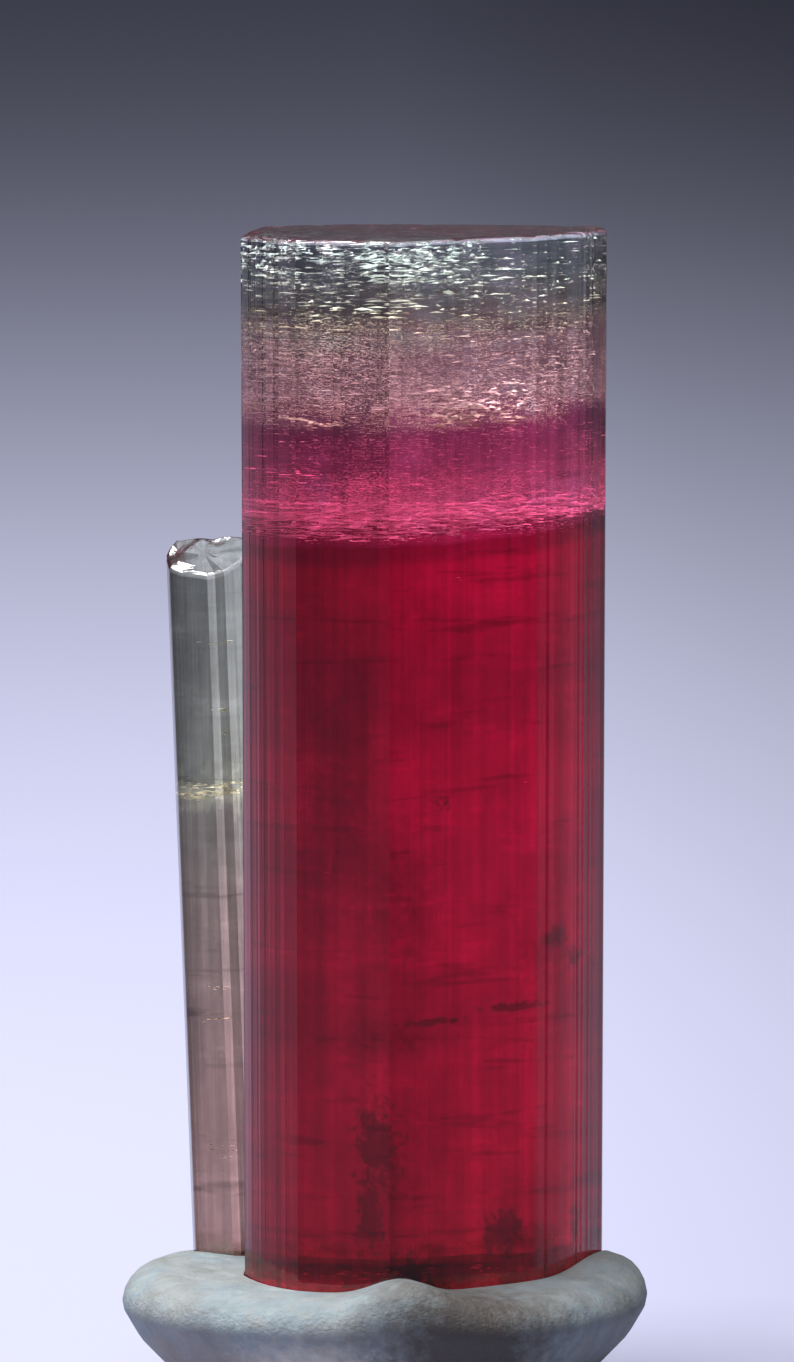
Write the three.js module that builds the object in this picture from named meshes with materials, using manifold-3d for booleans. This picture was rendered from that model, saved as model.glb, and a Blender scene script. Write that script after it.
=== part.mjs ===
// A watermelon tourmaline specimen: a tall striated prism with a slim crystal grown along its left side,
// stood upright in a lump of display putty. Millimetres, +Z up, and the side that is looked at faces -Y.
// The origin is under the middle of the specimen, on the surface that the putty stands on.

import * as THREE from "three";
import { mergeVertices } from "three/addons/utils/BufferGeometryUtils.js";
import Module from "manifold-3d";

// Driving dimensions of the main crystal. Plan sizes are measured from its own axis.
const CRYSTAL_AXIS = [1.45, 0]; // where the main crystal stands on the putty
const CRYSTAL_TOP = 44.6; // its flat end
const CRYSTAL_FOOT = 3.6; // its broken end, sunk in the putty
const RIM_BEVEL = { inset: 0.2, drop: 0.22 }; // the worn edge of the flat end
const FOOT_SCALE = 0.985; // it is a little slimmer at the foot
const FOOT_RELIEF = 0.7; // the broken end is uneven by this much
const FOOT_WAVES = [1.3, 1.7]; // how quickly it rises and falls across X and Y, in radians per millimetre

// The main crystal's prism faces in turn, seen from above: the upright edge that each starts at, how far
// it bows out, and the striations that score it.
const MAIN_FACES = [
  { edge: [-6.87, -1.6], bow: 0.3, grooves: 5, depth: 0.06 }, // front left face
  { edge: [-4.8, -4.45], bow: 0.06, grooves: 3, depth: 0.04 }, // front face
  { edge: [-1.3, -5.65], bow: 0.16, grooves: 4, depth: 0.04 }, // front right face
  { edge: [4.25, -1.95], bow: 0.25, grooves: 6, depth: 0.06 }, // right face
  { edge: [6.93, 1.75], bow: 0.08, grooves: 2, depth: 0.05 }, // narrow face at the right edge
  { edge: [6.82, 4.28], bow: 0.12, grooves: 9, depth: 0.07 }, // back face
  { edge: [-2.3, 5.65], bow: 0.1, grooves: 4, depth: 0.07 }, // back left face
  { edge: [-6.2, 4.05], bow: 0.1, grooves: 4, depth: 0.05 }, // left face
];

// Driving dimensions of the side crystal, which leans outwards from the foot of the main one.
const SIDE_AXIS = [-7.35, 3.3]; // at its foot, measured from the main crystal's axis
const SIDE_TOP = 32.8; // its highest point
const SIDE_FOOT = 4.9;
const SIDE_LEAN = THREE.MathUtils.degToRad(2.1);
const SIDE_SLOPE = THREE.MathUtils.degToRad(27.3); // its end is one rhombohedral face, sloping to the front
const SIDE_BEVEL = { inset: 0.16, drop: 0.2 };
const SIDE_RELIEF = 0.25;

const SIDE_FACES = [
  { edge: [-1.45, 0.35], bow: 0.03, grooves: 1, depth: 0.04 },
  { edge: [-1.1, -0.85], bow: 0.04, grooves: 2, depth: 0.03 },
  { edge: [0.1, -1.35], bow: 0.02, grooves: 1, depth: 0.04 },
  { edge: [0.75, -1.1], bow: 0.03, grooves: 2, depth: 0.04 },
  { edge: [1.8, 0.0], bow: 0.03, grooves: 1, depth: 0.04 },
  { edge: [1.5, 1.1], bow: 0.04, grooves: 2, depth: 0.04 },
  { edge: [-0.2, 1.3], bow: 0.03, grooves: 1, depth: 0.04 },
  { edge: [-1.1, 1.05], bow: 0.02, grooves: 1, depth: 0.03 },
];

// Striations: the width of a groove, the least of its depth where it fades, and the steps of a prism's
// height, at which it may swell or fade.
const GROOVE_WIDTH = 0.22;
const GROOVE_FADE = 0.35;
const PRISM_STEPS = 8;

// Driving dimensions of the putty, and the clearance of the socket that the crystals are pressed into.
const PUTTY_HALF = [10, 8.5]; // half its width and half its depth
const PUTTY_SEGMENTS = 56;
const KNEADING = 0.02; // how far its outline waves in and out, as a share of its radius
const SOCKET_GAP = 0.3;

// The putty's outline from the middle of its foot to the middle of its top: share of the half width, and
// height.
const PUTTY_PROFILE = [
  [0, 0],
  [0.62, 0],
  [0.72, 0.5],
  [0.83, 1.6],
  [0.93, 2.6],
  [1, 3.7],
  [0.985, 4.25],
  [0.94, 4.65],
  [0.86, 4.9],
  [0.76, 4.95],
  [0.6, 4.95],
  [0, 4.9],
];

// Where pressing pushed the top of the putty up: the direction in degrees from +X, how far round it spreads,
// and its rise at the rim.
const PUTTY_LUMPS = [
  { toward: 12, spread: 16, rise: 0.75 }, // the roll squeezed up behind the right edge
  { toward: 90, spread: 40, rise: 0.1 },
  { toward: 170, spread: 34, rise: 0.6 }, // the shoulder round the side crystal
  { toward: 275, spread: 13, rise: 1 }, // the lip against the front edge
];

const COLOURS = { crystals: 0xa3123f, putty: 0xa9b1b6 };

const wasm = await Module();
wasm.setup();

/** A repeatable number from 0 to 1 for each seed, for the irregularity of natural growth. */
function chance(seed) {
  const s = Math.sin(seed * 127.1 + 11.7) * 43758.5453;
  return s - Math.floor(s);
}

/** How deep a groove is at a share of the crystal's length, from faint to full. */
function grooveFade(seed, share) {
  const wave = Math.sin(Math.PI * (share * (1 + 2 * chance(seed)) + 2 * chance(seed + 0.5)));
  return GROOVE_FADE + (1 - GROOVE_FADE) * wave * wave;
}

/** A crystal's section at a share of its length: bowed faces, scored by V grooves unless it is plain. */
function section(faces, share, plain = false) {
  const points = [];
  faces.forEach((face, f) => {
    const start = new THREE.Vector2(...face.edge);
    const along = new THREE.Vector2(...faces[(f + 1) % faces.length].edge).sub(start);
    const out = new THREE.Vector2(along.y, -along.x).normalize();
    const place = (t, dent) =>
      start
        .clone()
        .addScaledVector(along, t)
        .addScaledVector(out, 4 * face.bow * t * (1 - t) - dent);
    const half = GROOVE_WIDTH / 2 / along.length();
    points.push(start);
    for (let g = 0; g < face.grooves; g++) {
      const seed = 20 * f + g;
      const middle = (g + 0.5 + 0.5 * (chance(seed) - 0.5)) / face.grooves;
      const dent = plain ? 0 : face.depth * grooveFade(seed, share);
      points.push(place(middle - half, 0), place(middle, dent), place(middle + half, 0));
    }
  });
  return points;
}

/** A ring of points from a section scaled about its axis, at a height that may change over the section. */
function ring(points, scale, height) {
  return points.map(({ x, y }) => new THREE.Vector3(x * scale, y * scale, height(x * scale, y * scale)));
}

/** The closed surface through rings of equal count, from the lowest up, with a point at each end. */
function loft(bottom, rings, top) {
  const count = rings[0].length;
  const points = [bottom, ...rings.flat(), top];
  const at = (level, i) => 1 + level * count + (i % count);
  const triangles = [];
  for (let i = 0; i < count; i++) {
    triangles.push(0, at(0, i + 1), at(0, i));
    for (let level = 0; level + 1 < rings.length; level++) {
      triangles.push(at(level, i), at(level, i + 1), at(level + 1, i + 1));
      triangles.push(at(level, i), at(level + 1, i + 1), at(level + 1, i));
    }
    triangles.push(points.length - 1, at(rings.length - 1, i), at(rings.length - 1, i + 1));
  }
  return new THREE.BufferGeometry().setFromPoints(points).setIndex(triangles);
}

/** A prism with a broken foot, striated sides and an end bevelled round a plane, its axis on Z. */
function prism(faces, { foot, relief, footScale = 1, bevel, end }) {
  const [wavesX, wavesY] = FOOT_WAVES;
  const broken = (x, y) => foot + (relief / 2) * (Math.sin(wavesX * x) + Math.cos(wavesY * y));
  const radius = Math.min(...faces.map(({ edge }) => Math.hypot(...edge)));
  const inner = 0.5; // the scale of a ring inside the foot, where the break is rough too
  const rough = 3; // how many times quicker the break rises and falls there
  const rings = [ring(section(faces, 0), inner * footScale, (x, y) => broken(rough * y, rough * x))];
  for (let step = 0; step <= PRISM_STEPS; step++) {
    const share = step / PRISM_STEPS;
    const scale = THREE.MathUtils.lerp(footScale, 1, share);
    rings.push(
      ring(section(faces, share), scale, (x, y) =>
        THREE.MathUtils.lerp(broken(x, y), end(x, y) - bevel.drop, share),
      ),
    );
  }
  rings.push(ring(section(faces, 1), 1 - bevel.inset / radius, end));
  return loft(new THREE.Vector3(0, 0, foot - relief), rings, new THREE.Vector3(0, 0, end(0, 0)));
}

/** The room for a crystal's foot in the putty: its plain section, wider by the gap, from under it up. */
function socket(faces, { foot, relief, top }) {
  const radius = Math.min(...faces.map(({ edge }) => Math.hypot(...edge)));
  const outline = section(faces, 0, true).map((point) => point.multiplyScalar(1 + SOCKET_GAP / radius));
  const floor = foot - relief - SOCKET_GAP;
  const room = new THREE.ExtrudeGeometry(new THREE.Shape(outline), {
    depth: top - floor,
    bevelEnabled: false,
  });
  return room.translate(0, 0, floor);
}

/** Where the side crystal stands beside the main one, leaning out about its foot. */
function sidePlace() {
  const lean = new THREE.Matrix4().makeRotationY(-SIDE_LEAN);
  const foot = new THREE.Matrix4().makeTranslation(...SIDE_AXIS, SIDE_FOOT);
  return foot.multiply(lean).multiply(new THREE.Matrix4().makeTranslation(0, 0, -SIDE_FOOT));
}

/** The kneaded lump: a turned profile, drawn out to an oval and pushed up in places round its top. */
function puttyLump() {
  const profile = PUTTY_PROFILE.map(([share, height]) => new THREE.Vector2(share, height));
  const lump = new THREE.LatheGeometry(profile, PUTTY_SEGMENTS).rotateX(Math.PI / 2);
  const [halfWidth, halfDepth] = PUTTY_HALF;
  const highest = Math.max(...PUTTY_PROFILE.map(([, height]) => height));
  const at = lump.getAttribute("position");
  for (let i = 0; i < at.count; i++) {
    const turn = THREE.MathUtils.radToDeg(Math.atan2(at.getY(i), at.getX(i)));
    const share = Math.hypot(at.getX(i), at.getY(i));
    const lift = PUTTY_LUMPS.reduce((sum, { toward, spread, rise }) => {
      const away = THREE.MathUtils.euclideanModulo(turn - toward + 180, 360) - 180;
      return sum + rise * Math.exp(-((away / spread) ** 2));
    }, 0);
    const kneaded = 1 + KNEADING * Math.sin(4 * THREE.MathUtils.degToRad(turn));
    at.setXYZ(
      i,
      at.getX(i) * halfWidth * kneaded,
      at.getY(i) * halfDepth * kneaded,
      at.getZ(i) + lift * share * (at.getZ(i) / highest) ** 3,
    );
  }
  return lump;
}

/** A closed geometry as a solid that can be joined and cut. */
function solid(geometry) {
  const bare = new THREE.BufferGeometry().setAttribute("position", geometry.getAttribute("position"));
  bare.setIndex(geometry.index);
  const { attributes, index } = mergeVertices(bare, 1e-4);
  return new wasm.Manifold(
    new wasm.Mesh({
      numProp: 3,
      vertProperties: new Float32Array(attributes.position.array),
      triVerts: new Uint32Array(index.array),
    }),
  );
}

/** A named mesh of a solid, in its finish. */
function piece(name, body, finish) {
  const { vertProperties, triVerts } = body.getMesh();
  const geometry = new THREE.BufferGeometry()
    .setAttribute("position", new THREE.BufferAttribute(vertProperties, 3))
    .setIndex(new THREE.BufferAttribute(triVerts, 1));
  geometry.computeVertexNormals();
  const mesh = new THREE.Mesh(geometry, new THREE.MeshStandardMaterial(finish));
  mesh.name = name;
  return mesh;
}

// The crystals grew into each other, so they are one solid.
const mainCrystal = prism(MAIN_FACES, {
  foot: CRYSTAL_FOOT,
  relief: FOOT_RELIEF,
  footScale: FOOT_SCALE,
  bevel: RIM_BEVEL,
  end: () => CRYSTAL_TOP,
});
const sideBack = Math.max(...SIDE_FACES.map(({ edge }) => edge[1]));
const sideCrystal = prism(SIDE_FACES, {
  foot: SIDE_FOOT,
  relief: SIDE_RELIEF,
  bevel: SIDE_BEVEL,
  end: (x, y) => SIDE_TOP + (y - sideBack) * Math.tan(SIDE_SLOPE),
}).applyMatrix4(sidePlace());
const crystals = solid(mainCrystal).add(solid(sideCrystal)).translate([...CRYSTAL_AXIS, 0]);

// The putty is pressed round the feet of both crystals.
const socketTop = 2 * Math.max(...PUTTY_PROFILE.map(([, height]) => height));
const mainSocket = socket(MAIN_FACES, { foot: CRYSTAL_FOOT, relief: FOOT_RELIEF, top: socketTop });
const sideSocket = socket(SIDE_FACES, { foot: SIDE_FOOT, relief: SIDE_RELIEF, top: socketTop });
const sockets = solid(mainSocket)
  .add(solid(sideSocket.applyMatrix4(sidePlace())))
  .translate([...CRYSTAL_AXIS, 0]);
const putty = solid(puttyLump()).subtract(sockets);

const specimen = new THREE.Group();
specimen.add(
  piece("tourmaline_crystals", crystals, { color: COLOURS.crystals, roughness: 0.08, metalness: 0 }),
  piece("putty_base", putty, { color: COLOURS.putty, roughness: 0.75, metalness: 0 }),
);

// The origin goes to the middle of the specimen's foot.
const box = new THREE.Box3().setFromObject(specimen);
const centre = box.getCenter(new THREE.Vector3());
specimen.position.set(-centre.x, -centre.y, -box.min.z);

const part = new THREE.Group();
part.add(specimen);
export default part;
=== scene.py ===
import math
import random

import bpy
from mathutils import Matrix, Vector, noise


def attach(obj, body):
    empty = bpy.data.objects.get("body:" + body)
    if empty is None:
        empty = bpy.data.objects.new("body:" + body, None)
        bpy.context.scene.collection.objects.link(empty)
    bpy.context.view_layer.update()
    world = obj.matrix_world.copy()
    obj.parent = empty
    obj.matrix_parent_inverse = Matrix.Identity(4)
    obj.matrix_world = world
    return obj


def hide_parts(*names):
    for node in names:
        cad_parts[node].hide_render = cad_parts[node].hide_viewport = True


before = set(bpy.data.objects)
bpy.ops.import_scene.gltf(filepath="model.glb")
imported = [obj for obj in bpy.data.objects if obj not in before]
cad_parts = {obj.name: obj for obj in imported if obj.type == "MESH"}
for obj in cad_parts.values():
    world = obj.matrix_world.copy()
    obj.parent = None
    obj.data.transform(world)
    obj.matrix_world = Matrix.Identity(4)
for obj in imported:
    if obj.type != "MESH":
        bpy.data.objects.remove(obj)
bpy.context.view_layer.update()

# The main crystal: a natural tourmaline prism, broken off at its foot and ending in a flat face.
# Its sides grew as narrow upright strips, the striations, so its section is a rounded triangle of many
# short lines. Every piece is modelled in millimetres and brought to the frame's metres when it is done.
MAIN_AXIS = Vector((1.45, 0))
MAIN_TOP = 44.6
MAIN_FOOT = 3.6
MAIN_FOOT_RELIEF = 0.7
MAIN_FOOT_SCALE = 0.985
MAIN_RIM = 0.18
MAIN_RADIUS = 6.2
MAIN_RINGS = 24
MAIN_SEED = 4

# Each face in turn, seen from above: the upright edge it starts at, how far it bows out, the usual width of
# its strips, how far they stand in or out, how clear the face is and how much its strips differ in that.
MAIN_FACES = [
    (-6.87, -1.6, 0.22, 0.2, 0.01, 1.1, 0.28),
    (-4.8, -4.45, 0.06, 0.5, 0.006, 1.0, 0.06),
    (-1.3, -5.65, 0.16, 0.5, 0.007, 1.0, 0.06),
    (4.25, -1.95, 0.15, 0.24, 0.012, 1.0, 0.30),
    (6.93, 1.75, 0.08, 0.3, 0.012, 1.0, 0.25),
    (6.82, 4.28, 0.12, 0.34, 0.016, 1.0, 0.10),
    (-2.3, 5.65, 0.10, 0.34, 0.016, 1.0, 0.10),
    (-6.2, 4.05, 0.10, 0.3, 0.012, 1.0, 0.15),
]
MAIN_FRONT = min(y for _, y, *_ in MAIN_FACES)
CLEAR_SEED_STEP = 50


def strip_lines(faces, seed):
    """The upright lines that a crystal's strips start at, in turn: the place in plan, the direction
    outwards, the relief and how clear the strip is."""
    draw = random.Random(seed)
    clear_draw = random.Random(seed + CLEAR_SEED_STEP)
    lines = []
    for face, next_face in zip(faces, faces[1:] + faces[:1]):
        x, y, bow, strip, relief, clear, contrast = face
        start = Vector((x, y))
        along = Vector(next_face[:2]) - start
        out = Vector((along.y, -along.x)).normalized()
        lines.append((start, out, 0.0, clear * (1 + contrast * clear_draw.uniform(-1, 1))))
        reach = strip * draw.uniform(0.3, 0.9)
        while reach < along.length - 0.3 * strip:
            share = reach / along.length
            bulge = 4 * bow * share * (1 - share)
            place = start + share * along + bulge * out
            strip_relief = relief * draw.uniform(-1, 1)
            lines.append((place, out, strip_relief, clear * (1 + contrast * clear_draw.uniform(-1, 1))))
            reach += strip * draw.uniform(0.35, 1.65)
    return lines


def grow_prism(name, lines, rings):
    """A closed prism: a disc with a point on every line, extruded once for each ring and set on the rings.
    A ring is a scale about the axis, a share of the height and the height as a function of x and y."""

    def lines_on(place):
        """How many lines on from the first a place on the disc is. The disc's first point is on +Y."""
        return (math.atan2(place.y, place.x) / math.tau - 0.25) * len(lines)

    bpy.ops.object.select_all(action="DESELECT")
    bpy.ops.mesh.primitive_circle_add(vertices=len(lines), radius=1, fill_type="NGON")
    prism = bpy.context.object
    prism.name = name
    bpy.ops.object.mode_set(mode="EDIT")
    for _ in rings[1:]:
        bpy.ops.mesh.extrude_region_move(TRANSFORM_OT_translate={"value": (0, 0, 1)})
    bpy.ops.object.mode_set(mode="OBJECT")
    clear = prism.data.attributes.new("clear", "FLOAT", "FACE")
    for polygon, face_value in zip(prism.data.polygons, clear.data):
        between_rings = polygon.center.z % 1 > 0.1
        number = math.floor(lines_on(polygon.center)) % len(lines)
        face_value.value = lines[number][3] if between_rings else 1.0
    for vertex in prism.data.vertices:
        number = round(lines_on(vertex.co)) % len(lines)
        place, out, relief, _ = lines[number]
        scale, share, height = rings[round(vertex.co.z)]
        swell = 0.7 + 0.5 * noise.noise((3.7 * number, 3 * share, 0))
        x, y = scale * (place + relief * swell * out)
        vertex.co = (x, y, height(x, y))
    bpy.ops.object.mode_set(mode="EDIT")
    bpy.ops.mesh.select_all(action="SELECT")
    bpy.ops.mesh.normals_make_consistent(inside=False)
    bpy.ops.object.mode_set(mode="OBJECT")
    return prism


def broken(foot, relief):
    """The height of a broken foot, rough over its whole face."""
    return lambda x, y: foot + relief * noise.noise((0.6 * x, 0.6 * y, foot))


def chipped(end, depth, pitch):
    """The height of a crystal's end with chips of a depth and a pitch out of it."""
    return lambda x, y: end(x, y) - depth * max(0, noise.noise((x / pitch, y / pitch, depth)) - 0.1)


FOOT_SCALES = (0.15, 0.4, 0.65, 0.85)
RIM_TURNS = (22.5, 45, 67.5, 90)
END_SCALES = (0.88, 0.76, 0.64, 0.52, 0.4, 0.28, 0.16)


def prism_rings(foot, foot_scale, end, face, rim, radius, steps):
    """The rings of a crystal from the middle of its broken foot, up its sides, over its worn rim and in
    over the face at its end."""
    rings = [(scale * foot_scale, 0, foot) for scale in FOOT_SCALES]
    for step in range(steps + 1):
        share = step / steps
        scale = foot_scale + share * (1 - foot_scale)
        rings.append((
            scale,
            share,
            lambda x, y, share=share: (1 - share) * foot(x, y) + share * (end(x, y) - rim),
        ))
    for turn in RIM_TURNS:
        inset = rim * (1 - math.cos(math.radians(turn)))
        drop = rim * (1 - math.sin(math.radians(turn)))
        rings.append((1 - inset / radius, 1, lambda x, y, drop=drop: end(x, y) - drop))
    for scale in END_SCALES:
        rings.append((scale, 1, face))
    return rings


main_crystal = grow_prism(
    "tourmaline_crystals",
    strip_lines(MAIN_FACES, MAIN_SEED),
    prism_rings(
        foot=broken(MAIN_FOOT, MAIN_FOOT_RELIEF),
        foot_scale=MAIN_FOOT_SCALE,
        end=chipped(lambda x, y: MAIN_TOP, depth=0.16, pitch=0.42),
        face=chipped(lambda x, y: MAIN_TOP, depth=0.05, pitch=1.5),
        rim=MAIN_RIM,
        radius=MAIN_RADIUS,
        steps=MAIN_RINGS,
    ),
)

# The side crystal: a slim pale prism that grew along the left of the main one, leaning a little outwards.
# Its end is one sloping face, and it is grown into the main crystal, so the two are joined in one mesh.
SIDE_AXIS = Vector((-7.35, 3.3))
SIDE_TOP = 32.8
SIDE_FOOT = 4.9
SIDE_FOOT_RELIEF = 0.25
SIDE_LEAN = math.radians(2.1)
SIDE_SLOPE = math.radians(27.3)
SIDE_RIM = 0.16
SIDE_RADIUS = 1.3
SIDE_RINGS = 16
SIDE_SEED = 9
# Its faces are given as the main crystal's are. The clearness of some is partly painted light and shade:
# the left face is dark, and the three front faces are bright, dark and bright, as highlights on its front.
SIDE_FACES = [
    (-1.45, 0.35, 0.03, 0.2, 0.015, 0.3, 0.20),
    (-1.34, -0.62, 0.04, 0.3, 0.025, 0.9, 0.25),
    (0.1, -1.35, 0.01, 0.2, 0.02, 1.5, 0.10),
    (0.4, -1.24, 0.01, 0.2, 0.02, 0.4, 0.20),
    (0.75, -1.1, 0.03, 0.2, 0.03, 1.6, 0.15),
    (1.8, 0.0, 0.03, 0.2, 0.015, 1.0, 0.20),
    (1.5, 1.1, 0.04, 0.2, 0.015, 1.0, 0.20),
    (-0.2, 1.3, 0.03, 0.2, 0.02, 1.0, 0.20),
    (-1.1, 1.05, 0.02, 0.2, 0.015, 1.0, 0.20),
]
SIDE_BACK = max(y for _, y, *_ in SIDE_FACES)
side_end = chipped(lambda x, y: SIDE_TOP + (y - SIDE_BACK) * math.tan(SIDE_SLOPE), depth=0.27, pitch=0.9)
side_place = (
    Matrix.Translation((*SIDE_AXIS, SIDE_FOOT))
    @ Matrix.Rotation(-SIDE_LEAN, 4, "Y")
    @ Matrix.Translation((0, 0, -SIDE_FOOT))
)

side_crystal = grow_prism(
    "side_crystal",
    strip_lines(SIDE_FACES, SIDE_SEED),
    prism_rings(
        foot=broken(SIDE_FOOT, SIDE_FOOT_RELIEF),
        foot_scale=1,
        end=side_end,
        face=side_end,
        rim=SIDE_RIM,
        radius=SIDE_RADIUS,
        steps=SIDE_RINGS,
    ),
)
side_crystal.data.transform(side_place)
for crystal, paleness in ((main_crystal, 0.0), (side_crystal, 1.0)):
    pale = crystal.data.attributes.new("pale", "FLOAT", "FACE")
    for face_value in pale.data:
        face_value.value = paleness


def join_or_cut(piece, other, operation):
    """Joins another piece to this one, or cuts it away, and removes it."""
    bpy.ops.object.select_all(action="DESELECT")
    bpy.context.view_layer.objects.active = piece
    piece.select_set(True)
    boolean = piece.modifiers.new(operation.lower(), "BOOLEAN")
    boolean.operation = operation
    boolean.solver = "EXACT"
    boolean.object = other
    bpy.ops.object.modifier_apply(modifier=boolean.name)
    bpy.data.objects.remove(other)


join_or_cut(main_crystal, side_crystal, "UNION")

MILLIMETRE = 0.001


def to_frame(piece, place=Vector((0, 0))):
    """Brings a finished piece from millimetres to its place in the frame, in metres, in its own mesh."""
    bpy.ops.object.select_all(action="DESELECT")
    bpy.context.view_layer.objects.active = piece
    piece.select_set(True)
    piece.scale = (MILLIMETRE, MILLIMETRE, MILLIMETRE)
    piece.location = (MILLIMETRE * place.x, MILLIMETRE * place.y, 0)
    bpy.ops.object.transform_apply(location=True, rotation=True, scale=True)


to_frame(main_crystal, MAIN_AXIS)
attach(main_crystal, "root")
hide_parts("tourmaline_crystals")

# Tourmaline: clear, with its colour in level zones along its length, crimson below a pink band and a
# grey-green cap. Light is tinted where it enters and leaves, and darkened on its way through.
tourmaline = bpy.data.materials.new("tourmaline")
tourmaline.use_nodes = True
tree = tourmaline.node_tree
shader = tree.nodes["Principled BSDF"]
shader.inputs["IOR"].default_value = 1.63
shader.inputs["Roughness"].default_value = 0.03


def add_node(tree, kind, inputs=None, **settings):
    """A new node with its settings, and with each input set to a value or linked to a socket."""
    node = tree.nodes.new(kind)
    for name, value in settings.items():
        setattr(node, name, value)
    for name, value in (inputs or {}).items():
        if isinstance(value, bpy.types.NodeSocket):
            tree.links.new(value, node.inputs[name])
        else:
            node.inputs[name].default_value = value
    return node


def vector_math(tree, operation, first, second=None):
    """The result of a vector operation. The second value is a number for SCALE, and LENGTH has none."""
    inputs = {0: first}
    if operation == "SCALE":
        inputs["Scale"] = second
    elif operation != "LENGTH":
        inputs[1] = second
    node = add_node(tree, "ShaderNodeVectorMath", inputs, operation=operation)
    return node.outputs["Value" if operation in ("DOT_PRODUCT", "LENGTH") else "Vector"]


def in_millimetres(tree):
    """The place on a piece, in the frame's millimetres."""
    place = add_node(tree, "ShaderNodeTexCoord").outputs["Object"]
    return vector_math(tree, "SCALE", place, 1 / MILLIMETRE)


def along_axis(tree, place, axis):
    """The part of a place along one axis."""
    return add_node(tree, "ShaderNodeSeparateXYZ", {"Vector": place}).outputs[axis]


def remap(tree, value, low, high, to_low, to_high):
    """A value moved from one range to another and held there."""
    node = add_node(
        tree,
        "ShaderNodeMapRange",
        {"Value": value, "From Min": low, "From Max": high, "To Min": to_low, "To Max": to_high},
    )
    return node.outputs["Result"]


def stretched_noise(tree, place, scale, detail, roughness=0.5):
    """Noise with its own frequency along each axis, in cycles for each millimetre."""
    texture = add_node(
        tree,
        "ShaderNodeTexNoise",
        {
            "Vector": vector_math(tree, "MULTIPLY", place, scale),
            "Scale": 1.0,
            "Detail": detail,
            "Roughness": roughness,
        },
    )
    return texture.outputs["Fac"]


NOISE_SPAN = (0.3, 0.7)


def noise_between(tree, place, low, high, scale, detail, roughness=0.5):
    """Stretched noise, spread from the span that it mostly keeps to over a low to a high value."""
    spread = stretched_noise(tree, place, scale, detail, roughness)
    return remap(tree, spread, *NOISE_SPAN, low, high)


def combine(tree, operation, first, *others):
    """Numbers added, multiplied or compared in turn."""
    for other in others:
        first = add_node(tree, "ShaderNodeMath", {0: first, 1: other}, operation=operation).outputs["Value"]
    return first


def colour_at(tree, value, stops, top):
    """The colour at a value, by stops from 0 to a top one, each with its colour."""
    node = add_node(tree, "ShaderNodeValToRGB", {"Fac": remap(tree, value, 0, top, 0, 1)})
    elements = node.color_ramp.elements
    while len(elements) < len(stops):
        elements.new(1)
    for element, (stop, colour) in zip(elements, stops):
        element.position = stop / top
        element.color = (*colour, 1)
    return node.outputs["Color"]


def mix_colours(tree, factor, first, second):
    """A colour between two others. The Mix node's sockets share their names, so they go by number."""
    node = add_node(tree, "ShaderNodeMix", {"Factor": factor, 6: first, 7: second}, data_type="RGBA")
    return node.outputs[2]


# Colours by height, in millimetres over the floor at the front edge. The zones rise a little to the right
# and to the back, ripple, and are mottled where the mauve turns to grey-green.
ZONE_RISE_RIGHT = 0.03
ZONE_RISE_BACK = 0.055
ZONE_TOP = 46.0
ZONES = [
    (0.0, (0.75, 0.010, 0.035)),
    (4.8, (0.75, 0.010, 0.035)),
    (5.6, (0.34, 0.003, 0.018)),
    (8.0, (0.36, 0.003, 0.020)),
    (12.0, (0.44, 0.003, 0.026)),
    (14.8, (0.36, 0.003, 0.022)),
    (17.0, (0.50, 0.003, 0.030)),
    (20.5, (0.42, 0.003, 0.028)),
    (24.0, (0.60, 0.003, 0.036)),
    (27.3, (0.44, 0.003, 0.030)),
    (30.0, (0.66, 0.003, 0.040)),
    (32.3, (0.92, 0.004, 0.056)),
    (32.6, (0.40, 0.003, 0.034)),
    (33.1, (0.40, 0.004, 0.038)),
    (33.3, (1.00, 0.14, 0.30)),
    (34.3, (1.00, 0.13, 0.28)),
    (35.5, (0.96, 0.10, 0.22)),
    (36.2, (0.78, 0.09, 0.22)),
    (37.3, (0.72, 0.10, 0.24)),
    (37.7, (0.98, 0.46, 0.48)),
    (40.2, (0.96, 0.54, 0.52)),
    (41.4, (0.90, 0.80, 0.62)),
    (42.4, (0.76, 0.90, 0.76)),
    (44.8, (0.72, 0.92, 0.90)),
]
millimetres = in_millimetres(tree)
height = along_axis(tree, millimetres, "Z")
slope = vector_math(tree, "DOT_PRODUCT", millimetres, (-ZONE_RISE_RIGHT, -ZONE_RISE_BACK, 1.0))
to_front_edge = ZONE_RISE_RIGHT * MAIN_AXIS.x + ZONE_RISE_BACK * MAIN_FRONT
ripple = noise_between(tree, millimetres, -0.14, 0.14, (0.3, 0.3, 0.5), 3)
mottling = noise_between(tree, millimetres, -1, 1, (0.7, 0.7, 1.0), 5, 0.6)
mottling = combine(tree, "MULTIPLY", mottling, remap(tree, height, 38.6, 41.2, 0, 0.8))
level = combine(tree, "ADD", slope, ripple, mottling, to_front_edge)
zones = colour_at(tree, level, ZONES, ZONE_TOP)

# The side crystal's own colours, with a light torn band halfway up.
SIDE_ZONES = [
    (0.0, (0.50, 0.30, 0.24)),
    (12.0, (0.44, 0.29, 0.23)),
    (19.0, (0.42, 0.33, 0.25)),
    (22.4, (0.40, 0.38, 0.28)),
    (22.7, (0.72, 0.72, 0.46)),
    (23.3, (0.68, 0.70, 0.44)),
    (23.6, (0.40, 0.42, 0.30)),
    (31.0, (0.50, 0.54, 0.42)),
    (33.4, (0.66, 0.70, 0.60)),
]
torn = noise_between(tree, millimetres, -0.8, 0.8, (1.6, 1.6, 0.9), 5, 0.6)
side_zones = colour_at(tree, combine(tree, "ADD", slope, torn), SIDE_ZONES, ZONE_TOP)
pale = add_node(tree, "ShaderNodeAttribute", attribute_name="pale").outputs["Fac"]
hue = mix_colours(tree, pale, zones, side_zones)
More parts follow.
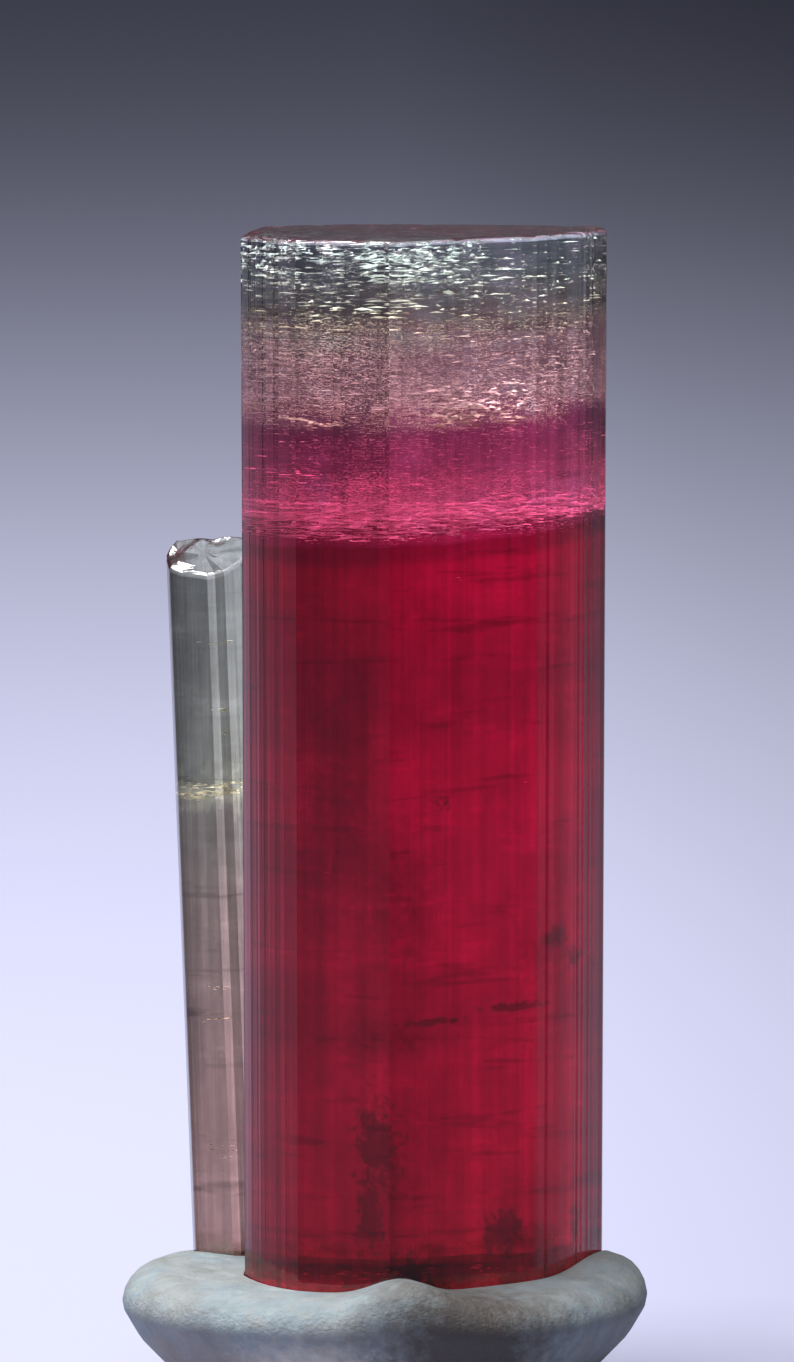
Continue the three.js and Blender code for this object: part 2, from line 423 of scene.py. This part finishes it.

# Upright streaks and hairlines, soft clouds and veins, and the strips' own differences in clearness,
# which on the side crystal's front are partly painted highlights and shade.
streaks = noise_between(tree, millimetres, 0.78, 1.15, (2.2, 2.2, 0.02), 4)
hairlines = noise_between(tree, millimetres, 0.86, 1.12, (6.0, 6.0, 0.03), 3)
clouds = noise_between(tree, millimetres, 0.66, 1.26, (0.45, 0.45, 0.3), 5, 0.6)
veins = noise_between(tree, millimetres, 0.8, 1.2, (1.3, 1.3, 0.12), 5, 0.6)
strip_clearness_and_highlights = add_node(tree, "ShaderNodeAttribute", attribute_name="clear").outputs["Fac"]

# Healed cracks lie level in the crystal, close together and strong in the cap, few and faint in the body.
layers = remap(tree, stretched_noise(tree, millimetres, (0.5, 0.5, 4.5), 4, 0.6), 0.36, 0.64, 0.7, 1.25)
cap_layers = remap(tree, height, 36.0, 41.5, 1, layers)
cracks = remap(tree, stretched_noise(tree, millimetres, (0.18, 0.18, 1.5), 5, 0.6), 0.59, 0.68, 1, 0.48)
wisps = remap(tree, stretched_noise(tree, millimetres, (0.3, 0.3, 1.1), 5, 0.65), 0.55, 0.72, 1, 1.5)

# Painted shade in the body, darker patches: middle and half extents, in millimetres from the main axis.
PAINTED_SHADE_PATCHES = [
    ((-1.0, -4.5, 19.8), (1.6, 3.0, 3.6)),
    ((-3.2, -5.0, 24.0), (1.5, 3.0, 6.0)),
    ((-1.4, -5.0, 14.6), (2.4, 3.0, 1.3)),
    ((-1.0, -5.0, 9.5), (1.3, 3.0, 3.2)),
    ((-0.4, -5.0, 5.8), (2.0, 3.0, 1.5)),
    ((4.6, -1.0, 17.4), (1.4, 2.0, 1.5)),
]

# Dark inclusions just under the front faces: middle and half extents, in millimetres from the main axis.
INCLUSIONS = [
    ((-1.75, -5.4, 10.6), (1.0, 0.9, 2.0)),
    ((-2.0, -5.2, 7.9), (0.6, 0.8, 1.8)),
    ((4.9, -1.0, 18.0), (0.8, 0.9, 0.45)),
    ((5.6, 0.0, 17.1), (0.5, 0.8, 0.45)),
    ((0.8, -4.6, 23.4), (0.4, 0.6, 0.3)),
    ((-0.2, -5.2, 5.7), (1.2, 0.8, 0.8)),
    ((3.0, -3.0, 6.9), (1.0, 1.0, 1.1)),
    ((5.8, 0.2, 6.9), (0.35, 0.8, 0.6)),
    ((3.4, -2.5, 15.5), (2.2, 1.5, 0.2)),
    ((0.4, -4.6, 15.2), (2.0, 1.2, 0.15)),
    ((-6.8, -0.7, 27.2), (0.22, 0.5, 0.4)),
    ((-6.8, -0.7, 24.5), (0.16, 0.5, 0.55)),
]
INCLUSION_COLOUR = (0.03, 0.008, 0.004, 1)
INCLUSION_STRENGTH = 0.85
PATCH_EDGE = 1.1


def patches(tree, place, spots, raggedness, core):
    """A value that is 1 in the core of the given spots and falls to 0 at their ragged edges."""
    ragged = add_node(
        tree,
        "ShaderNodeTexNoise",
        {"Vector": place, "Scale": 2.2, "Detail": 6.0, "Roughness": 0.68},
    ).outputs["Color"]
    ragged = vector_math(tree, "SUBTRACT", ragged, (0.5, 0.5, 0.5))
    ragged = vector_math(tree, "SCALE", ragged, raggedness)
    most = 0.0
    for (x, y, z), half in spots:
        away = vector_math(tree, "SUBTRACT", place, (MAIN_AXIS.x + x, MAIN_AXIS.y + y, z))
        away = vector_math(tree, "DIVIDE", away, half)
        away = vector_math(tree, "LENGTH", vector_math(tree, "ADD", away, ragged))
        most = combine(tree, "MAXIMUM", most, remap(tree, away, core, PATCH_EDGE, 1, 0))
    return most


# Painted shade: the patches darken the tint to about a third in their cores.
painted_shade = remap(tree, patches(tree, millimetres, PAINTED_SHADE_PATCHES, raggedness=1.6, core=0.2), 0, 1, 1, 0.34)
shade = combine(
    tree, "MULTIPLY", streaks, hairlines, clouds, veins, strip_clearness_and_highlights, cap_layers, cracks, wisps, painted_shade
)
tint = vector_math(tree, "SCALE", hue, shade)
dark = patches(tree, millimetres, INCLUSIONS, raggedness=3.3, core=0.6)
dark = combine(tree, "MULTIPLY", dark, INCLUSION_STRENGTH)
tree.links.new(mix_colours(tree, dark, tint, INCLUSION_COLOUR), shader.inputs["Base Color"])

# Where it broke off, the foot is bruised and cloudy, so it looks red by its own colour.
bruises = remap(tree, stretched_noise(tree, millimetres, (0.9, 0.9, 1.4), 5, 0.6), 0.35, 0.65, 0.25, 0.8)
bruised = combine(tree, "MULTIPLY", bruises, remap(tree, level, 6.0, 5.0, 0, 1))
tree.links.new(remap(tree, bruised, 0, 1, 1, 0), shader.inputs["Transmission Weight"])

grooves = stretched_noise(tree, millimetres, (9.0, 9.0, 0.05), 3)
bump = add_node(tree, "ShaderNodeBump", {"Strength": 0.25, "Distance": 0.00002, "Height": grooves})
tree.links.new(bump.outputs["Normal"], shader.inputs["Normal"])
absorption = add_node(tree, "ShaderNodeVolumeAbsorption", {"Color": (0.74, 0.2, 0.4, 1), "Density": 30.0})
tree.links.new(absorption.outputs["Volume"], tree.nodes["Material Output"].inputs["Volume"])
main_crystal.data.materials.clear()
main_crystal.data.materials.append(tourmaline)

# Fracture films: small cracks inside the crystal that flash silvery, thick in the cap and rare below.
# Each is a low four-sided cone, drawn out to a sliver, whose sides lean back and mirror the light above.
# A group has a count, its middle, its half extents, the range of its lengths and that of its widths.
FILM_GROUPS = [
    (360, (0.0, 0.0, 43.1), (6.7, 5.6, 1.2), (0.1, 0.9), (0.05, 0.15)),
    (130, (-0.4, -3.4, 43.5), (1.5, 1.4, 0.6), (0.3, 0.9), (0.08, 0.18)),
    (230, (-2.4, -2.2, 44.0), (4.0, 3.0, 0.3), (0.1, 0.6), (0.06, 0.16)),
    (90, (-5.2, -0.8, 43.5), (1.2, 2.6, 0.8), (0.25, 0.7), (0.08, 0.2)),
    (40, (-1.0, -3.8, 42.0), (3.2, 1.2, 0.3), (0.3, 1.0), (0.08, 0.16)),
    (200, (0.0, 0.0, 40.0), (6.7, 5.6, 2.1), (0.1, 0.8), (0.05, 0.12)),
    (220, (1.7, -2.4, 38.3), (1.9, 1.8, 0.85), (0.2, 0.8), (0.08, 0.18)),
    (90, (1.6, -3.0, 38.2), (1.4, 1.1, 0.5), (0.3, 1.0), (0.1, 0.2)),
    (160, (4.2, -0.4, 39.0), (1.8, 1.8, 1.1), (0.15, 0.5), (0.05, 0.12)),
    (70, (5.4, 0.8, 40.6), (0.8, 1.6, 3.0), (0.15, 0.5), (0.06, 0.12)),
    (120, (0.5, 0.0, 36.6), (6.2, 5.0, 1.0), (0.1, 0.4), (0.04, 0.09)),
    (240, (0.0, 0.0, 34.8), (6.6, 5.4, 1.2), (0.1, 0.6), (0.04, 0.08)),
    (200, (1.9, -1.6, 34.0), (3.2, 2.8, 0.6), (0.15, 0.6), (0.05, 0.1)),
    (4, (-3.4, -4.0, 20.9), (0.3, 0.3, 0.15), (0.2, 0.4), (0.06, 0.1)),
    (2, (3.7, -1.6, 23.9), (0.15, 0.2, 0.05), (0.3, 0.4), (0.06, 0.1)),
    (2, (1.2, -3.6, 31.8), (0.1, 0.2, 0.1), (0.2, 0.3), (0.06, 0.1)),
    (120, (0.2, -2.4, 4.9), (6.4, 3.2, 0.7), (0.2, 0.7), (0.08, 0.2)),
]
# Films in the side crystal, measured from its own axis: a torn patch halfway up and single ones elsewhere.
SIDE_FILM_GROUPS = [
    (55, (-0.25, 0.0, 23.1), (0.85, 0.8, 0.35), (0.15, 0.6), (0.06, 0.14)),
    (6, (0.5, -0.6, 23.0), (0.15, 0.2, 0.15), (0.15, 0.3), (0.08, 0.14)),
    (3, (0.42, -0.5, 26.2), (0.1, 0.2, 0.05), (0.2, 0.4), (0.06, 0.1)),
    (2, (0.42, -0.5, 25.3), (0.1, 0.2, 0.05), (0.2, 0.4), (0.06, 0.1)),
    (5, (0.0, -0.5, 28.8), (0.7, 0.3, 0.08), (0.2, 0.5), (0.04, 0.07)),
    (4, (0.2, -0.4, 15.5), (0.5, 0.3, 0.1), (0.15, 0.4), (0.05, 0.1)),
    (4, (-0.2, -0.4, 14.3), (0.5, 0.3, 0.1), (0.15, 0.4), (0.05, 0.1)),
    (6, (0.0, -0.4, 9.4), (0.7, 0.3, 0.5), (0.15, 0.4), (0.05, 0.1)),
]
# Sprays of the finest films, which make the pale haze: a count of sprays, their middle and half extents.
SPRAY_GROUPS = [
    (80, (0.0, 0.0, 43.1), (6.7, 5.6, 0.8)),
    (480, (0.0, 0.0, 39.6), (6.7, 5.6, 2.0)),
    (60, (-3.4, -1.2, 39.3), (3.2, 3.0, 1.4)),
    (110, (2.6, -1.2, 38.4), (3.4, 2.8, 0.9)),
    (60, (4.7, -0.2, 38.9), (1.6, 2.2, 1.4)),
    (60, (1.5, 0.0, 36.4), (5.2, 5.0, 0.8)),
    (340, (0.0, 0.0, 34.5), (6.7, 5.6, 0.9)),
    (110, (-2.4, -2.4, 34.4), (2.6, 2.4, 0.9)),
    (90, (2.6, -1.6, 34.6), (2.6, 2.4, 0.9)),
]
SPRAY_HALF = 0.5
SPRAY_FILMS = 44
SPRAY_LENGTHS = (0.03, 0.13)
SPRAY_WIDTHS = (0.02, 0.04)
SPRAY_REACH = 1.2 * SPRAY_HALF
FILM_REACH = 0.45
FILM_MARGIN = 0.15
FILM_HEIGHT = 0.53
SQUARE_SHARE = 0.8
FILM_SEED = 21


def inside_section(faces, x, y, margin):
    """Whether a place lies within a crystal's section, at least the margin from each face."""
    for (start_x, start_y, *_), (end_x, end_y, *_) in zip(faces, faces[1:] + faces[:1]):
        along = Vector((end_x - start_x, end_y - start_y)).normalized()
        if (x - start_x) * along.y - (y - start_y) * along.x > -margin:
            return False
    return True


bpy.ops.object.select_all(action="DESELECT")
bpy.ops.mesh.primitive_cone_add(vertices=4, radius1=1, radius2=0, depth=1, location=(0, 0, 0.5))
bpy.ops.object.transform_apply(location=True)
film = bpy.context.object
draw = random.Random(FILM_SEED)


def copy_of(piece):
    """A copy of a piece with a mesh of its own."""
    copy = piece.copy()
    copy.data = piece.data.copy()
    bpy.context.collection.objects.link(copy)
    return copy


def lay_film(x, y, z, length, width):
    """A copy of the film at its place, most of them square to the front and the rest turned at random."""
    turn = draw.gauss(0, 0.25) if draw.random() < SQUARE_SHARE else draw.uniform(0, math.tau)
    copy = copy_of(film)
    for vertex in copy.data.vertices:
        vertex.co = (
            length * (0.5 * vertex.co.x + 0.1 * draw.uniform(-1, 1)),
            width * (0.5 * vertex.co.y + 0.06 * draw.uniform(-1, 1)),
            width * (FILM_HEIGHT * vertex.co.z + 0.06 * draw.uniform(-1, 1)),
        )
    copy.data.transform(Matrix.Translation((x, y, z)) @ Matrix.Rotation(turn, 4, "Z"))
    return copy


def place_in(middle, half):
    """A random place within half extents of a middle."""
    return [m + h * draw.uniform(-1, 1) for m, h in zip(middle, half)]


def join_all(pieces):
    """Joins pieces into the first of them."""
    bpy.ops.object.select_all(action="DESELECT")
    for piece in pieces:
        piece.select_set(True)
    bpy.context.view_layer.objects.active = pieces[0]
    bpy.ops.object.join()
    return pieces[0]


spray_films = []
for _ in range(SPRAY_FILMS):
    x, y, z = place_in((0, 0, 0), (SPRAY_HALF, SPRAY_HALF, SPRAY_HALF))
    length = draw.uniform(*SPRAY_LENGTHS)
    spray_films.append(lay_film(x, y, z, length, draw.uniform(*SPRAY_WIDTHS)))
spray = join_all(spray_films)

films = []
for count, middle, half in SPRAY_GROUPS:
    for _ in range(count):
        x, y, z = place_in(middle, half)
        turn = draw.choice((0, math.pi)) + draw.gauss(0, 0.15)
        if inside_section(MAIN_FACES, x, y, FILM_MARGIN + SPRAY_REACH):
            copy = copy_of(spray)
            copy.data.transform(Matrix.Translation((x, y, z)) @ Matrix.Rotation(turn, 4, "Z"))
            films.append(copy)
for count, middle, half, lengths, widths in FILM_GROUPS:
    for _ in range(count):
        x, y, z = place_in(middle, half)
        length = lengths[0] + (lengths[1] - lengths[0]) * draw.random() ** 2
        if inside_section(MAIN_FACES, x, y, FILM_MARGIN + FILM_REACH * length):
            films.append(lay_film(x, y, z, length, draw.uniform(*widths)))
for count, middle, half, lengths, widths in SIDE_FILM_GROUPS:
    for _ in range(count):
        x, y, z = place_in(middle, half)
        length = draw.uniform(*lengths)
        if inside_section(SIDE_FACES, x, y, FILM_MARGIN + FILM_REACH * length):
            copy = lay_film(x, y, z, length, draw.uniform(*widths))
            copy.data.transform(side_place)
            films.append(copy)

# Where the crimson ends, films lie close together on one plane that rises with the zones, and make the pink
# above it glow.
GLOW_FILMS = 1800
GLOW_LEVEL = 33.3
GLOW_DEPTH = 0.8
for _ in range(GLOW_FILMS):
    x = draw.uniform(-6.8, 6.8)
    y = draw.uniform(-5.6, 5.6)
    plane = GLOW_LEVEL + ZONE_RISE_RIGHT * x + ZONE_RISE_BACK * (y - MAIN_FRONT)
    z = plane + GLOW_DEPTH * draw.random() ** 2
    length = draw.uniform(0.2, 1.0)
    if inside_section(MAIN_FACES, x, y, FILM_MARGIN + FILM_REACH * length):
        films.append(lay_film(x, y, z, length, draw.uniform(0.05, 0.11)))

# Below the mauve zone, at the left, a thin pale seam winds along the front.
SEAM_FILMS = 80
SEAM_LEVEL = 37.75
SEAM_WAVE = 0.13
for _ in range(SEAM_FILMS):
    x = draw.uniform(-6.6, -2.9)
    y = draw.uniform(-4.6, -2.0)
    length = draw.uniform(0.15, 0.4)
    if inside_section(MAIN_FACES, x, y, FILM_MARGIN + FILM_REACH * length):
        z = SEAM_LEVEL + SEAM_WAVE * math.sin(2.3 * x) + 0.04 * draw.uniform(-1, 1)
        films.append(lay_film(x, y, z, length, draw.uniform(0.05, 0.09)))
bpy.data.objects.remove(film)
bpy.data.objects.remove(spray)

CAP_FOOT = 36.5
upper = [copy for copy in films if copy.data.vertices[0].co.z > CAP_FOOT]
lower = [copy for copy in films if copy.data.vertices[0].co.z <= CAP_FOOT]
cap_films = join_all(upper)
cap_films.name = "cap_films"
lower_films = join_all(lower)
lower_films.name = "lower_films"
for piece in (cap_films, lower_films):
    to_frame(piece, MAIN_AXIS)
    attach(piece, "root")

# The films take the colour of the crystal round them. They are dull at the broken foot, and those in the
# side crystal, left of the main one's edge, are cream.
FILM_SHADES = [
    (0.0, (0.95, 0.10, 0.16)),
    (7.0, (0.95, 0.12, 0.18)),
    (10.0, (0.95, 0.25, 0.40)),
    (33.2, (0.95, 0.36, 0.60)),
    (36.0, (0.95, 0.36, 0.58)),
    (37.1, (0.92, 0.52, 0.60)),
    (37.5, (0.95, 0.80, 0.68)),
    (38.4, (0.95, 0.76, 0.80)),
    (40.4, (0.95, 0.80, 0.80)),
    (41.4, (0.95, 0.88, 0.70)),
    (42.3, (0.95, 0.94, 0.86)),
    (44.6, (0.92, 0.96, 0.97)),
]
SIDE_FILM_COLOUR = (0.95, 0.94, 0.80, 1)
SIDE_FILM_EDGE = (-5.6, -5.5)
silver = bpy.data.materials.new("fracture film")
silver.use_nodes = True
tree = silver.node_tree
shader = tree.nodes["Principled BSDF"]
millimetres = in_millimetres(tree)
height = along_axis(tree, millimetres, "Z")
gloss = stretched_noise(tree, millimetres, (1.5, 1.5, 1.5), 3)
faded = remap(tree, gloss, 0.3, 0.6, 0.75, 1)
cloudy = remap(tree, stretched_noise(tree, millimetres, (0.4, 0.4, 1.0), 4, 0.6), 0.36, 0.56, 0.7, 1)
film_colour = vector_math(
    tree,
    "SCALE",
    colour_at(tree, height, FILM_SHADES, ZONE_TOP),
    combine(tree, "MULTIPLY", faded, cloudy),
)
in_side = remap(tree, along_axis(tree, millimetres, "X"), *SIDE_FILM_EDGE, 1, 0)
tree.links.new(mix_colours(tree, in_side, film_colour, SIDE_FILM_COLOUR), shader.inputs["Base Color"])
tree.links.new(remap(tree, height, 6.5, 9.0, 0, 0.9), shader.inputs["Metallic"])
tree.links.new(remap(tree, gloss, *NOISE_SPAN, 0.35, 0.55), shader.inputs["Roughness"])
for piece in (cap_films, lower_films):
    piece.data.materials.clear()
    piece.data.materials.append(silver)

# The putty: a pinch of soft display putty, kneaded into a lump, pressed flat underneath and squeezed up
# round the feet of the crystals. It is drawn here as a ball with its points moved to the kneaded form.
PUTTY_HALF = Vector((10, 8.5))
PUTTY_TURNS = 160
PUTTY_RINGS = 72

# The profile, from the middle of the underside to the middle of the top: a share of the half width, and
# a height. Each lump on the rim has a direction in degrees from +X, a spread in degrees and a height.
PUTTY_PROFILE = [
    (0, 0),
    (0.62, 0),
    (0.72, 0.5),
    (0.83, 1.6),
    (0.93, 2.6),
    (1, 3.7),
    (0.985, 4.25),
    (0.94, 4.65),
    (0.86, 4.9),
    (0.76, 4.95),
    (0.6, 4.95),
    (0, 4.9),
]
PUTTY_TOP = max(z for _, z in PUTTY_PROFILE)
PUTTY_LUMPS = [(12, 16, 0.75), (90, 40, 0.1), (170, 34, 0.6), (275, 13, 1)]


def on_profile(share):
    """The point at a share of the way along the putty's profile."""
    spans = list(zip(PUTTY_PROFILE, PUTTY_PROFILE[1:]))
    lengths = [math.hypot(PUTTY_HALF.x * (b[0] - a[0]), b[1] - a[1]) for a, b in spans]
    reach = share * sum(lengths)
    for (a, b), length in zip(spans, lengths):
        if reach <= length:
            part = reach / length
            return a[0] + part * (b[0] - a[0]), a[1] + part * (b[1] - a[1])
        reach -= length
    return PUTTY_PROFILE[-1]


bpy.ops.object.select_all(action="DESELECT")
bpy.ops.mesh.primitive_uv_sphere_add(segments=PUTTY_TURNS, ring_count=PUTTY_RINGS, radius=1)
putty = bpy.context.object
putty.name = "putty_base"
for vertex in putty.data.vertices:
    turn = math.atan2(vertex.co.y, vertex.co.x)
    share, rise = on_profile(1 - math.acos(max(-1, min(1, vertex.co.z))) / math.pi)
    lift = 0
    for toward, spread, lump_height in PUTTY_LUMPS:
        away = (math.degrees(turn) - toward + 180) % 360 - 180
        lift += lump_height * math.exp(-((away / spread) ** 2))
    kneaded = 1 + 0.02 * math.sin(4 * turn)
    x = share * PUTTY_HALF.x * kneaded * math.cos(turn)
    y = share * PUTTY_HALF.y * kneaded * math.sin(turn)
    vertex.co = (x, y, rise + lift * share * (rise / PUTTY_TOP) ** 3)

# The socket that the feet of the crystals press into it, a little wider than they are.
SOCKET_GAP = 0.04
SOCKET_FLARE = 0.002
SOCKET_TOP = 12.0
for faces, seed, foot, foot_scale, place in (
    (MAIN_FACES, MAIN_SEED, MAIN_FOOT - MAIN_FOOT_RELIEF, MAIN_FOOT_SCALE, Matrix.Identity(4)),
    (SIDE_FACES, SIDE_SEED, SIDE_FOOT - SIDE_FOOT_RELIEF, 1, side_place),
):
    radius = min(math.hypot(x, y) for x, y, *_ in faces)
    lines = [
        (point * (1 + SOCKET_GAP / radius), out, 0.0, 1.0)
        for point, out, *_ in strip_lines(faces, seed)
    ]
    rings = [
        (foot_scale, 0, lambda x, y: foot),
        (foot_scale + SOCKET_FLARE, 0, lambda x, y: SOCKET_TOP),
    ]
    hole = grow_prism("socket", lines, rings)
    hole.data.transform(Matrix.Translation((*MAIN_AXIS, 0)) @ place)
    join_or_cut(putty, hole, "DIFFERENCE")
bpy.ops.object.shade_smooth_by_angle(angle=math.radians(35))
to_frame(putty)
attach(putty, "root")
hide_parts("putty_base")

# Handled putty: mottled blue-grey, with painted light on the shaded lower left of its front, a painted
# shadow of the crystal at the front, and reddish-brown at the lower left. Each patch has its middle,
# from the main axis, and its half extents.
PUTTY_SHADES = [
    (0.28, (0.21, 0.21, 0.20)),
    (0.42, (0.27, 0.30, 0.30)),
    (0.50, (0.29, 0.32, 0.33)),
    (0.58, (0.26, 0.32, 0.35)),
    (0.72, (0.35, 0.39, 0.38)),
]
# Painted light, pale on the lower left of the front where the putty lies in shade.
PAINTED_LIGHT_PATCH = [((-4.4, -7.5, 1.0), (4.6, 3.6, 2.5))]
PAINTED_LIGHT_COLOUR = (0.70, 0.64, 0.55, 1)
# Painted shadow of the crystal, dark over the front of the putty.
PAINTED_SHADOW_PATCH = [((1.7, -7.6, 3.6), (4.3, 4.5, 4.6))]
PAINTED_SHADOW_COLOUR = (0.05, 0.039, 0.034, 1)
REDDISH_LOWER_LEFT = [((-9.0, -5.5, 2.0), (3.5, 4.0, 1.6))]
REDDISH_LOWER_LEFT_COLOUR = (0.26, 0.19, 0.17, 1)
clay = bpy.data.materials.new("putty")
clay.use_nodes = True
tree = clay.node_tree
shader = tree.nodes["Principled BSDF"]
millimetres = in_millimetres(tree)
mottle = stretched_noise(tree, millimetres, (0.45, 0.45, 0.7), 6, 0.6)
# The colour is darker towards the top.
darker_top = remap(tree, along_axis(tree, millimetres, "Z"), 3.9, 5.0, 1, 0.82)
streaky = noise_between(tree, millimetres, 0.71, 0.99, (1.1, 1.1, 0.3), 4, 0.6)
putty_colour = vector_math(
    tree,
    "SCALE",
    colour_at(tree, mottle, PUTTY_SHADES, 1),
    combine(tree, "MULTIPLY", darker_top, streaky),
)
# Painted light, a painted shadow and the reddish-brown lower left, each laid over the colour.
for spots, raggedness, core, strength, colour in (
    (PAINTED_LIGHT_PATCH, 0.8, 0.35, 0.9, PAINTED_LIGHT_COLOUR),
    (PAINTED_SHADOW_PATCH, 1.0, 0.35, 0.92, PAINTED_SHADOW_COLOUR),
    (REDDISH_LOWER_LEFT, 1.2, 0.2, 0.6, REDDISH_LOWER_LEFT_COLOUR),
):
    covered = combine(tree, "MULTIPLY", patches(tree, millimetres, spots, raggedness, core), strength)
    putty_colour = mix_colours(tree, covered, putty_colour, colour)
tree.links.new(putty_colour, shader.inputs["Base Color"])
tree.links.new(remap(tree, mottle, *NOISE_SPAN, 0.6, 0.85), shader.inputs["Roughness"])
smears = stretched_noise(tree, millimetres, (0.8, 0.8, 0.35), 4, 0.6)
smeared = add_node(tree, "ShaderNodeBump", {"Strength": 0.5, "Distance": 0.0004, "Height": smears})
grain = stretched_noise(tree, millimetres, (5.0, 5.0, 7.0), 5, 0.65)
grained = add_node(
    tree,
    "ShaderNodeBump",
    {"Strength": 0.5, "Distance": 0.00013, "Height": grain, "Normal": smeared.outputs["Normal"]},
)
tree.links.new(grained.outputs["Normal"], shader.inputs["Normal"])
putty.data.materials.clear()
putty.data.materials.append(clay)

# The floor: a pale sheet, wide enough to fill the view behind the specimen, with painted shade that
# makes it a little darker to the right. Out of the picture, painted shade and light make it darker in
# some directions and lighter in one, so that the faces of the crystal don't mirror it: each direction
# is in degrees from +X, with how light the sheet is there.
FLOOR_METRES = 6
FLOOR_FADE = 60
FLOOR_COLOURS = [
    (0, (0.336, 0.34, 0.456)),
    (24, (0.267, 0.271, 0.361)),
    (60, (0.206, 0.21, 0.284)),
]
FLOOR_PAINTED_LIGHT_AND_SHADE = [
    (-180, 0.45),
    (-155, 0.25),
    (-115, 0.2),
    (-95, 0.6),
    (-80, 0.6),
    (-45, 0.25),
    (-5, 0.3),
    (10, 0.6),
    (28, 1.3),
    (38, 1.3),
    (52, 1.0),
    (132, 1.0),
    (160, 0.5),
    (180, 0.45),
]
TONES_START = 20
TONES_FULL = 36
bpy.ops.object.select_all(action="DESELECT")
bpy.ops.mesh.primitive_plane_add(size=FLOOR_METRES)
floor = bpy.context.object
floor.name = "floor"
paper = bpy.data.materials.new("floor")
paper.use_nodes = True
tree = paper.node_tree
shader = tree.nodes["Principled BSDF"]
shader.inputs["Roughness"].default_value = 0.9
shader.inputs["Specular IOR Level"].default_value = 0.1
millimetres = in_millimetres(tree)
to_right = along_axis(tree, millimetres, "X")
to_back = along_axis(tree, millimetres, "Y")
direction = remap(tree, combine(tree, "ARCTAN2", to_back, to_right), -math.pi, math.pi, 0, 360)
# Painted light and shade by direction, faded in away from the specimen.
tone_stops = [(degrees + 180, (painted_light_and_shade, painted_light_and_shade, painted_light_and_shade)) for degrees, painted_light_and_shade in FLOOR_PAINTED_LIGHT_AND_SHADE]
toned = remap(tree, vector_math(tree, "LENGTH", millimetres), TONES_START, TONES_FULL, 0, 1)
painted_light_and_shade = mix_colours(tree, toned, (1, 1, 1, 1), colour_at(tree, direction, tone_stops, 360))
# Painted shade: the sheet darkens to the right.
sheet_colour_with_painted_shade = colour_at(tree, to_right, FLOOR_COLOURS, FLOOR_FADE)
tree.links.new(vector_math(tree, "MULTIPLY", sheet_colour_with_painted_shade, painted_light_and_shade), shader.inputs["Base Color"])
floor.data.materials.append(paper)

# The light: one round soft box, high over the specimen and a little to its left, tipped towards the back.
# A dim, slightly blue room fills the shadows evenly.
KEY_PLACE = Vector((-0.10, 0.0, 0.45))
KEY_AIM = Vector((0.0, 0.15, 0))
bpy.ops.object.light_add(type="AREA", location=KEY_PLACE)
key = bpy.context.object
key.name = "key"
key.data.shape = "DISK"
key.data.size = 0.34
key.data.energy = 5.9
key.rotation_euler = (KEY_AIM - KEY_PLACE).to_track_quat("-Z", "Y").to_euler()
key.visible_camera = False
room = bpy.data.worlds.new("room")
bpy.context.scene.world = room
room.use_nodes = True
room.node_tree.nodes["Background"].inputs["Color"].default_value = (0.82, 0.86, 1.0, 1)
room.node_tree.nodes["Background"].inputs["Strength"].default_value = 0.10

# The camera: it looks a little down on the specimen, from where the photograph was taken. The bounces let
# light find its way out through the films and both crystals.
IMAGE_HEIGHT = 1362
PIXELS_TO_MILLIMETRE = 26.4
SENSOR = 36
CAMERA_DISTANCE = 0.4
CAMERA_PITCH = math.radians(5.9)
CAMERA_AIM = Vector((0.00045, 0, 0.0276))
bpy.ops.object.camera_add()
camera = bpy.context.object
camera.data.sensor_width = SENSOR
camera.data.lens = SENSOR * PIXELS_TO_MILLIMETRE / MILLIMETRE * CAMERA_DISTANCE / IMAGE_HEIGHT
camera.data.clip_start = 0.01
camera.data.clip_end = 20
camera.rotation_euler = (math.pi / 2 - CAMERA_PITCH, 0, 0)
toward_camera = Vector((0, -math.cos(CAMERA_PITCH), math.sin(CAMERA_PITCH)))
camera.location = CAMERA_AIM + CAMERA_DISTANCE * toward_camera
bpy.context.scene.camera = camera
bpy.context.scene.view_settings.view_transform = "Standard"
bpy.context.scene.cycles.max_bounces = 24
bpy.context.scene.cycles.transmission_bounces = 20
bpy.context.scene.cycles.glossy_bounces = 12
